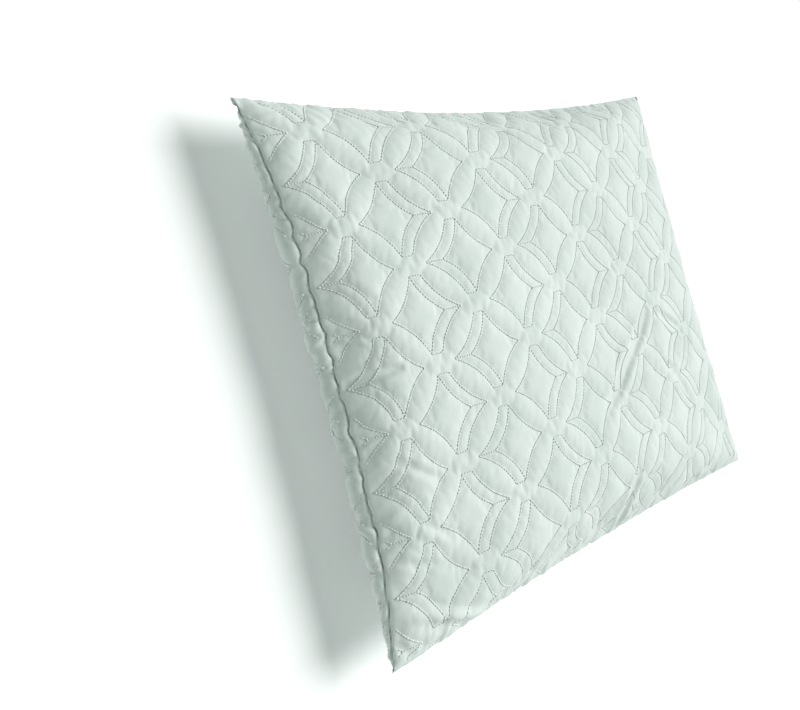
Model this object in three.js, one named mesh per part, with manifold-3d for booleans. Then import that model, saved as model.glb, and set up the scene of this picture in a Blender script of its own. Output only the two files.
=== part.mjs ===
// A standard bed pillow, lying on its back face: two quilted cover panels sewn together in a knife-edge
// seam around a crowned fibre filling. Millimetres, +Z up. X runs along the long side and Y along the
// short side. The origin is under the middle of the pillow, at the height of the surface it rests on.

import * as THREE from 'three';
import { mergeGeometries, mergeVertices } from 'three/addons/utils/BufferGeometryUtils.js';
import Module from 'manifold-3d';

const wasm = await Module();
wasm.setup();

// Overall sizes, corner to corner along the seam, and how far the filling lifts each face off the seam.
const seamLength = 660;
const seamBreadth = 508;
const frontRise = 62;
const backRise = 54;

// How far the filling pulls the middle of each side in from the straight line between its corners.
const shortSidePull = 32;
const longSidePull = 20;

// Roundness of the cross-sections: a larger power is fuller near the seam.
const crownPower = 2.9;

// Share of the back face's half length and half breadth that lies flat where the pillow rests.
const restShare = 0.5;

// Layers of each quilted panel, from the outside in.
const coverThickness = 0.6;
const waddingThickness = 6;
const scrimThickness = 0.5;
const layerGap = 0.3;

// Seam: the covers' edges are turned in, and the thread runs between the two turned-in edges.
const seamAllowance = 12;
const seamThreadWidth = 0.6;
const seamThreadInset = 2.5;
const closingLength = 220;

// Care label, caught in the seam of a short side and hanging down over the back face.
const labelWidth = 38;
const labelReach = 16;
const labelThickness = 0.5;
const labelOffsetAlongSide = -120;

// Mesh fineness.
const lengthCells = 20;
const breadthCells = 16;
const seamStations = 40;

// Half the space between the two covers' turned-in edges: the seam thread and a gap on each side of it.
const seamHalfSpace = seamThreadWidth / 2 + layerGap;

// Depth below the cover's outer face at which each layer starts.
const waddingDepth = coverThickness + layerGap;
const scrimDepth = waddingDepth + waddingThickness + layerGap;
const fillDepth = scrimDepth + scrimThickness + layerGap;

const faces = {
  front: { side: 1, rise: frontRise, flatShare: 0 },
  back: { side: -1, rise: backRise, flatShare: restShare },
};

/** Spreads grid lines so that they lie closer together near the seam, where the faces turn down. */
function spread(t) {
  return Math.sin((t * Math.PI) / 2);
}

/** Height of one cross-section from 1 in the middle to 0 at the seam, level over flatShare of it. */
function sectionHeight(t, flatShare) {
  const slope = Math.max(0, (Math.abs(t) - flatShare) / (1 - flatShare));
  return Math.max(0, 1 - slope ** crownPower) ** (1 / crownPower);
}

/** Point of the pillow's plan for u, v from -1 to 1, moved in from the outline by inset. */
function planPoint(u, v, inset) {
  const halfLength = seamLength / 2 - shortSidePull * (1 - v * v) - inset;
  const halfBreadth = seamBreadth / 2 - longSidePull * (1 - u * u) - inset;
  return new THREE.Vector2(u * halfLength, v * halfBreadth);
}

/** Point on a face's crown, a depth inside the outer face, and clear of the seam plane by seamClear. */
function crownPoint(face, u, v, depth, seamClear) {
  const plan = planPoint(u, v, depth);
  const height = sectionHeight(u, face.flatShare) * sectionHeight(v, face.flatShare);
  const z = seamClear + (face.rise - depth - seamClear) * height;
  return new THREE.Vector3(plan.x, plan.y, backRise + face.side * z);
}

/** Point of a panel's turned-in edge: the outline moved in by inset, at a height off the seam plane. */
function seamPoint(face, u, v, inset, height) {
  const plan = planPoint(u, v, inset);
  return new THREE.Vector3(plan.x, plan.y, backRise + face.side * height);
}

/** Place of one grid line, from -1 to 1. */
function gridLine(line, cells) {
  return spread(-1 + (2 * line) / cells);
}

/** A flat grid bent into a crowned sheet, with place giving the point for u and v. */
function bentSheet(place) {
  const sheet = new THREE.PlaneGeometry(2, 2, lengthCells, breadthCells);
  const position = sheet.attributes.position;
  for (let i = 0; i < position.count; i += 1) {
    const column = i % (lengthCells + 1);
    const row = breadthCells - Math.floor(i / (lengthCells + 1));
    const point = place(gridLine(column, lengthCells), gridLine(row, breadthCells));
    position.setXYZ(i, point.x, point.y, point.z);
  }
  return withInwardDiagonals(sheet);
}

/** The grid with two opposite quarters' diagonals turned, so that they all run from a corner inwards. */
function withInwardDiagonals(sheet) {
  const index = sheet.index;
  for (let row = 0; row < breadthCells; row += 1) {
    for (let column = 0; column < lengthCells; column += 1) {
      const cell = 6 * (row * lengthCells + column);
      const inUpperHalf = row < breadthCells / 2;
      const inLeftHalf = column < lengthCells / 2;
      if (inUpperHalf === inLeftHalf) {
        index.setX(cell + 2, index.getX(cell + 4));
        index.setX(cell + 3, index.getX(cell));
      }
    }
  }
  return sheet;
}

/** The outline's grid points as u and v, anticlockwise from the -X, -Y corner and back to it. */
function outlineStations() {
  const stations = [];
  for (let i = 0; i < lengthCells; i += 1) {
    stations.push([gridLine(i, lengthCells), -1]);
  }
  for (let i = 0; i < breadthCells; i += 1) {
    stations.push([1, gridLine(i, breadthCells)]);
  }
  for (let i = lengthCells; i > 0; i -= 1) {
    stations.push([gridLine(i, lengthCells), 1]);
  }
  for (let i = breadthCells; i > 0; i -= 1) {
    stations.push([-1, gridLine(i, breadthCells)]);
  }
  return [...stations, stations[0]];
}

/** A strip that runs round the outline and joins the rims that each of the places gives, in order. */
function bentRim(places) {
  const stations = outlineStations();
  const strip = new THREE.PlaneGeometry(1, 1, stations.length - 1, places.length - 1);
  const position = strip.attributes.position;
  for (let i = 0; i < position.count; i += 1) {
    const [u, v] = stations[i % stations.length];
    const point = places[Math.floor(i / stations.length)](u, v);
    position.setXYZ(i, point.x, point.y, point.z);
  }
  return strip;
}

/** A closed body between two crowned sheets: the first and last places, with the others along its rim. */
function closedBody(places, mirrored) {
  const outer = bentSheet(places[0]);
  const inner = turnedRound(bentSheet(places[places.length - 1]));
  const body = mergeGeometries([outer, inner, bentRim(places)]);
  body.deleteAttribute('normal');
  body.deleteAttribute('uv');
  const merged = mergeVertices(body);
  return mirrored ? turnedRound(merged) : merged;
}

/** The geometry with every triangle turned the other way round. */
function turnedRound(geometry) {
  const index = geometry.index;
  for (let i = 0; i < index.count; i += 3) {
    const second = index.getX(i + 1);
    index.setX(i + 1, index.getX(i + 2));
    index.setX(i + 2, second);
  }
  return geometry;
}

/** A cover panel: the crowned skin, with its edge turned in flat along the seam by seamAllowance. */
function coverGeometry(face) {
  const rimHeight = seamHalfSpace + coverThickness;
  const places = [
    (u, v) => crownPoint(face, u, v, 0, seamHalfSpace),
    (u, v) => seamPoint(face, u, v, seamAllowance, seamHalfSpace),
    (u, v) => seamPoint(face, u, v, seamAllowance, rimHeight),
    (u, v) => crownPoint(face, u, v, coverThickness, rimHeight),
  ];
  return closedBody(places, face.side < 0);
}

/** A layer inside a cover panel, from one depth to another, standing clear of the turned-in edge. */
function layerGeometry(face, depth, thickness) {
  const rimHeight = seamHalfSpace + coverThickness + layerGap;
  const places = [depth, depth + thickness].map((level) => (
    (u, v) => crownPoint(face, u, v, level, rimHeight)
  ));
  return closedBody(places, face.side < 0);
}

/** The filling: one crowned body that fills both panels and stops short of the turned-in edges. */
function fillGeometry() {
  const edgeInset = seamAllowance + layerGap;
  const rimHeight = seamHalfSpace + coverThickness + layerGap;
  const places = [faces.front, faces.back].map((face) => (u, v) => {
    const crown = crownPoint(face, u, v, fillDepth, rimHeight);
    const plan = planPoint(u, v, edgeInset);
    return new THREE.Vector3(plan.x, plan.y, crown.z);
  });
  return closedBody(places, false);
}

/** Points along one side of the seam line, from corner to corner: side 0 is -Y, then anticlockwise. */
function seamLine(side, inset) {
  const points = [];
  for (let i = 0; i < seamStations; i += 1) {
    const t = -1 + (2 * i) / seamStations;
    const corners = [[t, -1], [1, t], [-t, 1], [-1, -t]];
    points.push(planPoint(corners[side][0], corners[side][1], inset));
  }
  return points;
}

/** A run of seam thread between two edges of points, as a flat strip of square section. */
function threadGeometry(outerEdge, innerEdge) {
  const outline = new THREE.Shape([...outerEdge, ...innerEdge.reverse()]);
  const geometry = new THREE.ExtrudeGeometry(outline, { depth: seamThreadWidth, bevelEnabled: false });
  geometry.translate(0, 0, backRise - seamThreadWidth / 2);
  return geometry;
}

/** Point of the +X side's seam line at a distance along Y from the side's middle. */
function closingSidePoint(y, inset) {
  const v = y / (seamBreadth / 2 - inset);
  return planPoint(1, v, inset);
}

/** Points along the +X side's seam line between two places on it, ends included. */
function closingSideRun(fromY, toY, inset) {
  const points = [];
  const steps = Math.round(seamStations * (Math.abs(toY - fromY) / seamBreadth));
  for (let i = 0; i <= steps; i += 1) {
    points.push(closingSidePoint(fromY + ((toY - fromY) * i) / steps, inset));
  }
  return points;
}

/** The seam thread round three sides and up to both ends of the filling opening in the +X side. */
function perimeterThreadGeometry() {
  const openingEnd = closingLength / 2 + layerGap;
  const edges = [seamThreadInset, seamThreadInset + seamThreadWidth].map((inset) => {
    const corner = seamBreadth / 2 - inset;
    const loop = [2, 3, 0].flatMap((side) => seamLine(side, inset));
    return [
      ...closingSideRun(openingEnd, corner, inset).slice(0, -1),
      ...loop,
      ...closingSideRun(-corner, -openingEnd, inset),
    ];
  });
  return threadGeometry(edges[0], edges[1]);
}

/** The seam thread that closes the filling opening, in the middle of the +X side. */
function closingThreadGeometry() {
  const end = closingLength / 2;
  const outerEdge = closingSideRun(-end, end, seamThreadInset);
  const innerEdge = closingSideRun(-end, end, seamThreadInset + seamThreadWidth);
  return threadGeometry(outerEdge, innerEdge);
}

/** A closed geometry as a solid that can be cut. */
function toSolid(geometry) {
  const bare = geometry.clone();
  bare.deleteAttribute('normal');
  bare.deleteAttribute('uv');
  const merged = mergeVertices(bare);
  const mesh = new wasm.Mesh({
    numProp: 3,
    vertProperties: new Float32Array(merged.attributes.position.array),
    triVerts: new Uint32Array(merged.index.array),
  });
  return new wasm.Manifold(mesh);
}

/** A solid as a geometry again. */
function fromSolid(solid) {
  const mesh = solid.getMesh();
  const geometry = new THREE.BufferGeometry();
  geometry.setAttribute('position', new THREE.BufferAttribute(new Float32Array(mesh.vertProperties), 3));
  geometry.setIndex(new THREE.BufferAttribute(new Uint32Array(mesh.triVerts), 1));
  return geometry;
}

/** The care label: the piece of a thin skin over the back face that its rectangle cuts out at the seam. */
function labelGeometry() {
  const places = [-layerGap - labelThickness, -layerGap].map((depth) => (
    (u, v) => crownPoint(faces.back, u, v, depth, seamHalfSpace)
  ));
  const skin = closedBody(places, true);
  const seamEdge = closingSidePoint(labelOffsetAlongSide, 0).x;
  const blank = new THREE.BoxGeometry(2 * labelReach, labelWidth, 2 * backRise);
  blank.translate(seamEdge, labelOffsetAlongSide, 0);
  return fromSolid(toSolid(skin).intersect(toSolid(blank)));
}

/** One named sub-part with its own finish. */
function subPart(name, geometry, color, roughness) {
  const material = new THREE.MeshStandardMaterial({ color, roughness, metalness: 0 });
  geometry.computeVertexNormals();
  const mesh = new THREE.Mesh(geometry, material);
  mesh.name = name;
  return mesh;
}

const coverColor = 0xe3ebe7;
const waddingColor = 0xf2f2ee;
const scrimColor = 0xe6e6e2;
const fillColor = 0xf7f7f4;
const threadColor = 0xdbe4e0;
const labelColor = 0xf4f4f2;

const pillow = new THREE.Group();

for (const [name, face] of Object.entries(faces)) {
  const wadding = layerGeometry(face, waddingDepth, waddingThickness);
  const scrim = layerGeometry(face, scrimDepth, scrimThickness);
  pillow.add(subPart(`${name}_cover_fabric`, coverGeometry(face), coverColor, 0.85));
  pillow.add(subPart(`${name}_quilt_wadding`, wadding, waddingColor, 0.95));
  pillow.add(subPart(`${name}_backing_scrim`, scrim, scrimColor, 0.9));
}

pillow.add(subPart('fibre_fill', fillGeometry(), fillColor, 0.95));
pillow.add(subPart('perimeter_seam_thread', perimeterThreadGeometry(), threadColor, 0.6));
pillow.add(subPart('closing_seam_thread', closingThreadGeometry(), threadColor, 0.6));
pillow.add(subPart('care_label', labelGeometry(), labelColor, 0.45));

export default pillow;
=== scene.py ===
"""A standard bed pillow with quilted panels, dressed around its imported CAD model.

The front and back panels are cut flat, sewn together at the rim and filled by a cloth simulation. The
quilting, the seam and the stitches are laid out on the flat panels and follow them onto the filled shape.
Metres throughout, in the CAD model's own frame: +Z up, X along the pillow, Y across it.
"""

import logging
import math
from collections.abc import Sequence
from dataclasses import dataclass, field
from enum import Enum

import bmesh
import bpy
import numpy as np
from mathutils import Matrix, Vector

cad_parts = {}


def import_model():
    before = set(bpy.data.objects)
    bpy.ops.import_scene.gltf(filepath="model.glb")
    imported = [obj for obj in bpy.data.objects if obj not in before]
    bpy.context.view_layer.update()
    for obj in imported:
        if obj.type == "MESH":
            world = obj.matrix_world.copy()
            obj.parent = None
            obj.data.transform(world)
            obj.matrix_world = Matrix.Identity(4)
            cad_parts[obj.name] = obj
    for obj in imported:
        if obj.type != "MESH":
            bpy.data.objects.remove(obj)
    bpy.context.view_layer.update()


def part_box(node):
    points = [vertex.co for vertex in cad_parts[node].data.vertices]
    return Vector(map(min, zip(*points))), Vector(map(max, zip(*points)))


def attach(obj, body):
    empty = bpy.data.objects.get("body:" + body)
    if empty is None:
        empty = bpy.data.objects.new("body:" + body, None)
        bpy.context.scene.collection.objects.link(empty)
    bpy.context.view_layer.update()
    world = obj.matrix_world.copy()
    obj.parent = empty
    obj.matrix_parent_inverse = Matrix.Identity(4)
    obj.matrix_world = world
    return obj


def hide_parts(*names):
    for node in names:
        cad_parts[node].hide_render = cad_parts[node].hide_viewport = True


LOG = logging.getLogger("pillow")
MM = 0.001
BODY = "root"
CLOTH_MAP = "cloth"


class Side(Enum):
    """The pillow's two faces, each with the direction that it faces along Z."""

    FRONT = 1
    BACK = -1

    @property
    def word(self) -> str:
        """The word that the CAD nodes of this side start with."""
        return self.name.lower()


# ---------------------------------------------------------------------------------------------------
# Finishes


def linear(hex_colour: str) -> tuple[float, float, float, float]:
    """Turns an sRGB hex colour into linear RGBA.

    Args:
        hex_colour: Six hex digits with a leading #.

    Returns:
        Linear red, green, blue and an alpha of 1.
    """
    channels = [int(hex_colour[i:i + 2], 16) / 255 for i in (1, 3, 5)]
    bent = [c / 12.92 if c <= 0.04045 else ((c + 0.055) / 1.055) ** 2.4 for c in channels]
    return (bent[0], bent[1], bent[2], 1.0)


def add_node(tree: bpy.types.NodeTree, kind: str, settings: dict | None = None,
             links: dict | None = None) -> bpy.types.Node:
    """Adds one shader node with its settings and links.

    Args:
        tree: The material's node tree.
        kind: The node's type name without the ShaderNode prefix.
        settings: Node properties by name, and socket values by name or number.
        links: Output sockets that feed this node's inputs, by input name or number.

    Returns:
        The new node.
    """
    node = tree.nodes.new("ShaderNode" + kind)
    for name, value in (settings or {}).items():
        if isinstance(name, str) and hasattr(node, name):
            setattr(node, name, value)
        else:
            node.inputs[name].default_value = value
    for name, output in (links or {}).items():
        tree.links.new(output, node.inputs[name])
    return node


def wave_scale(spacing: float) -> float:
    """Wave scale that gives one band per spacing: a wave texture has 20 bands in 2 pi units."""
    return math.tau / (20 * spacing)


def new_material(name: str) -> tuple[bpy.types.Material, bpy.types.NodeTree]:
    """A material with an empty node tree.

    Args:
        name: The material's name.

    Returns:
        The material and its node tree.
    """
    material = bpy.data.materials.new(name)
    material.use_nodes = True
    material.node_tree.nodes.clear()
    return material, material.node_tree


@dataclass(frozen=True)
class BrushedMicrofibre:
    """Brushed polyester microfibre, woven plain and raised on the face.

    It is almost white with a cool mint cast, matt, with a soft glow where it turns away from the eye.
    The threads are too fine to see, so the weave is drawn a few times coarser, and faint.
    """

    name: str = "brushed_microfibre"
    pale: str = "#e7edea"
    deep: str = "#dae2de"
    thread_spacing: float = 1.1 * MM
    crinkle_size: float = 6 * MM
    mottle_size: float = 60 * MM
    roughness: float = 0.86
    sheen: float = 0.22

    def material(self) -> bpy.types.Material:
        """Builds the finish.

        Returns:
            The material, read through the cover's own cloth attribute, which is in metres of flat cloth.
        """
        material, tree = new_material(self.name)
        cloth = add_node(tree, "Attribute", {"attribute_name": CLOTH_MAP}).outputs["Vector"]
        mottle = add_node(tree, "TexNoise", {"Scale": 1 / self.mottle_size, "Detail": 4.0},
                          {"Vector": cloth})
        tint = add_node(tree, "ValToRGB", links={"Fac": mottle.outputs["Fac"]})
        tint.color_ramp.elements[0].position = 0.32
        tint.color_ramp.elements[0].color = linear(self.deep)
        tint.color_ramp.elements[1].position = 0.62
        tint.color_ramp.elements[1].color = linear(self.pale)
        warp, weft = (
            add_node(tree, "TexWave", {"bands_direction": axis, "Scale": wave_scale(self.thread_spacing),
                                       "Distortion": 0.6, "Detail": 1.0, "Detail Scale": 2.0},
                     {"Vector": cloth})
            for axis in "XY"
        )
        weave = add_node(tree, "Math", {"operation": "MULTIPLY"},
                         {0: warp.outputs["Fac"], 1: weft.outputs["Fac"]})
        crinkle = add_node(tree, "TexNoise",
                           {"Scale": 1 / self.crinkle_size, "Detail": 5.0, "Roughness": 0.6},
                           {"Vector": cloth})
        weave_bump = add_node(tree, "Bump", {"Strength": 0.25, "Distance": 0.12 * MM},
                              {"Height": weave.outputs["Value"]})
        bump = add_node(tree, "Bump", {"Strength": 0.5, "Distance": 0.5 * MM},
                        {"Height": crinkle.outputs["Fac"], "Normal": weave_bump.outputs["Normal"]})
        matt = add_node(tree, "MapRange", {"To Min": self.roughness - 0.06, "To Max": self.roughness + 0.08},
                        {"Value": crinkle.outputs["Fac"]})
        shader = add_node(tree, "BsdfPrincipled",
                          {"Sheen Weight": self.sheen, "Sheen Roughness": 0.45, "IOR": 1.5,
                           "Specular IOR Level": 0.3},
                          {"Base Color": tint.outputs["Color"], "Roughness": matt.outputs["Result"],
                           "Normal": bump.outputs["Normal"]})
        add_node(tree, "OutputMaterial", links={"Surface": shader.outputs["BSDF"]})
        return material


@dataclass(frozen=True)
class FibreStock:
    """Loose or bonded polyester fibre, and the thin non-woven made from it.

    It is matt, soft and slightly uneven.
    """

    name: str
    pale: str
    deep: str
    clump_size: float
    bump_height: float
    roughness: float = 0.95

    def material(self) -> bpy.types.Material:
        """Builds the finish.

        Returns:
            The material, with fibre clumps in object space.
        """
        material, tree = new_material(self.name)
        place = add_node(tree, "TexCoord").outputs["Object"]
        clumps = add_node(tree, "TexNoise", {"Scale": 1 / self.clump_size, "Detail": 6.0, "Roughness": 0.65},
                          {"Vector": place})
        strands = add_node(tree, "TexMagic", {"Scale": 0.4 / self.clump_size, "Distortion": 2.0,
                                              "turbulence_depth": 4}, {"Vector": place})
        tint = add_node(tree, "ValToRGB", links={"Fac": clumps.outputs["Fac"]})
        tint.color_ramp.elements[0].position = 0.35
        tint.color_ramp.elements[0].color = linear(self.deep)
        tint.color_ramp.elements[1].position = 0.65
        tint.color_ramp.elements[1].color = linear(self.pale)
        height = add_node(tree, "Math", {"operation": "MULTIPLY"},
                          {0: clumps.outputs["Fac"], 1: strands.outputs["Fac"]})
        bump = add_node(tree, "Bump", {"Strength": 0.8, "Distance": self.bump_height},
                        {"Height": height.outputs["Value"]})
        matt = add_node(tree, "MapRange", {"To Min": self.roughness - 0.08, "To Max": self.roughness + 0.04},
                        {"Value": clumps.outputs["Fac"]})
        shader = add_node(tree, "BsdfPrincipled", {"Sheen Weight": 0.15, "IOR": 1.5},
                          {"Base Color": tint.outputs["Color"], "Roughness": matt.outputs["Result"],
                           "Normal": bump.outputs["Normal"]})
        add_node(tree, "OutputMaterial", links={"Surface": shader.outputs["BSDF"]})
        return material


@dataclass(frozen=True)
class SpunThread:
    """Spun polyester sewing thread: two plies twisted together, with a slight lustre along the strand."""

    name: str = "spun_thread"
    pale: str = "#ffffff"
    deep: str = "#edf3f0"
    ply_spacing: float = 0.6 * MM

    def material(self) -> bpy.types.Material:
        """Builds the finish.

        Returns:
            The material, with the plies' twist as slanting bands in object space.
        """
        material, tree = new_material(self.name)
        place = add_node(tree, "TexCoord").outputs["Object"]
        plies = add_node(tree, "TexWave", {"bands_direction": "DIAGONAL", "Distortion": 0.4,
                                           "Scale": wave_scale(self.ply_spacing)}, {"Vector": place})
        tint = add_node(tree, "ValToRGB", links={"Fac": plies.outputs["Fac"]})
        tint.color_ramp.elements[0].color = linear(self.deep)
        tint.color_ramp.elements[1].color = linear(self.pale)
        bump = add_node(tree, "Bump", {"Strength": 0.5, "Distance": 0.08 * MM},
                        {"Height": plies.outputs["Fac"]})
        shine = add_node(tree, "MapRange", {"To Min": 0.62, "To Max": 0.5}, {"Value": plies.outputs["Fac"]})
        shader = add_node(tree, "BsdfPrincipled", {"Sheen Weight": 0.5, "IOR": 1.53},
                          {"Base Color": tint.outputs["Color"], "Roughness": shine.outputs["Result"],
                           "Normal": bump.outputs["Normal"]})
        add_node(tree, "OutputMaterial", links={"Surface": shader.outputs["BSDF"]})
        return material


@dataclass(frozen=True)
class SatinTape:
    """Slit-edge polyester satin tape: smooth and bright along its long floats, with a fine rib across."""

    name: str = "satin_tape"
    pale: str = "#eaece9"
    deep: str = "#d9ddda"
    rib_spacing: float = 0.8 * MM

    def material(self) -> bpy.types.Material:
        """Builds the finish.

        Returns:
            The material, with its ribs in object space.
        """
        material, tree = new_material(self.name)
        place = add_node(tree, "TexCoord").outputs["Object"]
        ribs = add_node(tree, "TexWave", {"bands_direction": "Z", "Distortion": 0.3,
                                          "Scale": wave_scale(self.rib_spacing)}, {"Vector": place})
        tint = add_node(tree, "ValToRGB", links={"Fac": ribs.outputs["Fac"]})
        tint.color_ramp.elements[0].color = linear(self.deep)
        tint.color_ramp.elements[1].color = linear(self.pale)
        bump = add_node(tree, "Bump", {"Strength": 0.3, "Distance": 0.05 * MM},
                        {"Height": ribs.outputs["Fac"]})
        shine = add_node(tree, "MapRange", {"To Min": 0.42, "To Max": 0.34}, {"Value": ribs.outputs["Fac"]})
        shader = add_node(tree, "BsdfPrincipled", {"Anisotropic": 0.4, "IOR": 1.53, "Sheen Weight": 0.1},
                          {"Base Color": tint.outputs["Color"], "Roughness": shine.outputs["Result"],
                           "Normal": bump.outputs["Normal"]})
        add_node(tree, "OutputMaterial", links={"Surface": shader.outputs["BSDF"]})
        return material


# ---------------------------------------------------------------------------------------------------
# The pillow's flat pattern and its filled shape


@dataclass(frozen=True)
class Cut:
    """The flat panels' cut and the filled pillow's levels, from the CAD model's boxes."""

    length: float
    breadth: float
    seam_level: float
    crown_level: float

    @classmethod
    def from_frame(cls) -> "Cut":
        """Reads the two cover nodes' boxes."""
        front_low, front_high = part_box("front_cover_fabric")
        back_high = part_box("back_cover_fabric")[1]
        return cls(
            length=front_high.x - front_low.x,
            breadth=front_high.y - front_low.y,
            seam_level=(front_low.z + back_high.z) / 2,
            crown_level=front_high.z,
        )


@dataclass(frozen=True)
class QuiltPattern:
    """The quilting: columns of closed motifs, each a concave diamond with a second line on one side.

    A motif's own second line lies towards +X. Every other column is mirrored, and stands half a row
    higher, so that the points of one column reach between the motifs of the next.
    """

    column_pitch: float = 61.4 * MM
    row_pitch: float = 90.6 * MM
    shift_x: float = -34 * MM
    shift_y: float = -12 * MM
    plain_reach: float = 42 * MM
    inner_reach: float = 23 * MM
    outer_reach: float = 43.5 * MM
    tip_height: float = 36.2 * MM
    tip_offset: float = 6.4 * MM
    arc_sag: float = 0.095
    point_spacing: float = 0.5 * MM

    def arc(self, start: tuple[float, float], end: tuple[float, float]) -> np.ndarray:
        """Closely spaced points on an arc that bows towards the motif's middle.

        Args:
            start: One end of the arc.
            end: The other end.

        Returns:
            The points, in order, with both ends.
        """
        a, b = np.array(start), np.array(end)
        chord = b - a
        across = np.array((-chord[1], chord[0]))
        if np.dot(across, (a + b) / 2) > 0:
            across = -across
        t = np.linspace(0, 1, math.ceil(np.linalg.norm(chord) / self.point_spacing) + 1)[:, None]
        return a + chord * t + across * (4 * self.arc_sag * t * (1 - t))

    def straight(self, start: tuple[float, float], end: tuple[float, float]) -> np.ndarray:
        """Closely spaced points on a straight line, with both ends."""
        count = math.ceil(math.dist(start, end) / self.point_spacing) + 1
        return np.linspace(start, end, count)

    def motif_lines(self) -> list[np.ndarray]:
        """The motif's sewn lines about its own centre, with the second line towards +X.

        Returns:
            Each line's points.
        """
        tip, high = self.tip_offset, self.tip_height
        lines = [self.straight((self.inner_reach, 0), (self.outer_reach, 0))]
        for up in (1, -1):
            lines.append(self.arc((-self.plain_reach, 0), (-tip, up * high)))
            lines.append(self.arc((-tip, up * high), (self.inner_reach, 0)))
            lines.append(self.arc((tip, up * high), (self.outer_reach, 0)))
            lines.append(self.straight((-tip, up * high), (tip, up * high)))
        return lines

    def sewn_lines(self, cut: Cut) -> list[np.ndarray]:
        """All the sewn lines on a panel.

        Args:
            cut: The flat panel.

        Returns:
            Each line's points in the flat panel's coordinates. Some run over the panel's edge.
        """
        columns = math.ceil(cut.length / self.column_pitch / 2) + 1
        rows = math.ceil(cut.breadth / self.row_pitch / 2) + 1
        lines = []
        for column in range(-columns, columns + 1):
            hand = 1 if column % 2 else -1
            for row in range(-rows, rows + 1):
                x = self.shift_x + column * self.column_pitch
                y = self.shift_y + (row + 0.5 * (column % 2)) * self.row_pitch
                lines.extend(line * (hand, 1) + (x, y) for line in self.motif_lines())
        return lines


def blend_at(grid: np.ndarray, row: np.ndarray, column: np.ndarray) -> np.ndarray:
    """Values between the points of a grid.

    Args:
        grid: Samples by row and column.
        row: The row of each place, whole or not.
        column: The column of each place.

    Returns:
        The values there, in proportion to the four samples around.
    """
    low_row = np.clip(np.floor(row).astype(int), 0, grid.shape[0] - 2)
    low_column = np.clip(np.floor(column).astype(int), 0, grid.shape[1] - 2)
    up, across = (row - low_row)[..., None], (column - low_column)[..., None]
    below = grid[low_row, low_column] * (1 - across) + grid[low_row, low_column + 1] * across
    above = grid[low_row + 1, low_column] * (1 - across) + grid[low_row + 1, low_column + 1] * across
    return below * (1 - up) + above * up


def smooth_between(values: np.ndarray, places: np.ndarray) -> np.ndarray:
    """Smoothly interpolates along the first axis of an array.

    Args:
        values: Samples at 0, 1, 2 and so on along the first axis.
        places: Places between the samples to give values for.

    Returns:
        The values at those places, on a smooth curve through the samples.
    """
    last = len(values) - 1
    base = np.clip(np.floor(places).astype(int), 0, last - 1)
    t = (places - base).reshape((-1,) + (1,) * (values.ndim - 1))
    before, here = values[np.maximum(base - 1, 0)], values[base]
    after, beyond = values[base + 1], values[np.minimum(base + 2, last)]
    return 0.5 * (2 * here + (after - before) * t + (2 * before - 5 * here + 4 * after - beyond) * t ** 2
                  + (3 * here - before - 3 * after + beyond) * t ** 3)


def flat_grid_object(name: str, length: float, breadth: float, columns: int, rows: int) -> bpy.types.Object:
    """A flat rectangle of square cells about the origin, for a simulation.

    Args:
        name: The object's name.
        length: Its size along X.
        breadth: Its size along Y.
        columns: Its cells along X.
        rows: Its cells along Y.

    Returns:
        The object, in the scene.
    """
    bm = bmesh.new()
    size = Matrix.Diagonal((length, breadth, 1, 1))
    bmesh.ops.create_grid(bm, x_segments=columns, y_segments=rows, size=0.5, matrix=size)
    mesh = bpy.data.meshes.new(name)
    bm.to_mesh(mesh)
    bm.free()
    sheet = bpy.data.objects.new(name, mesh)
    bpy.context.scene.collection.objects.link(sheet)
    return sheet


def points_of(mesh: bpy.types.Mesh) -> np.ndarray:
    """A mesh's points.

    Args:
        mesh: The mesh.

    Returns:
        A row of x, y and z for each point.
    """
    places = np.empty(3 * len(mesh.vertices), np.float32)
    mesh.vertices.foreach_get("co", places)
    return places.reshape(-1, 3).astype(float)


def step_cloth(cover: bpy.types.Object, cloth: bpy.types.ClothModifier, frames: int) -> np.ndarray:
    """Runs a cloth simulation, and removes its object.

    Args:
        cover: The object.
        cloth: Its cloth modifier.
        frames: How many frames to run.

    Returns:
        The place of each point in the last frame.
    """
    cloth.settings.effector_weights.gravity = 0
    cloth.point_cache.frame_start = 1
    cloth.point_cache.frame_end = frames
    for frame in range(1, frames + 1):
        bpy.context.scene.frame_set(frame)
    places = points_of(cover.evaluated_get(bpy.context.evaluated_depsgraph_get()).to_mesh())
    bpy.context.scene.frame_set(1)
    mesh = cover.data
    bpy.data.objects.remove(cover)
    bpy.data.meshes.remove(mesh)
    return places


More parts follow.
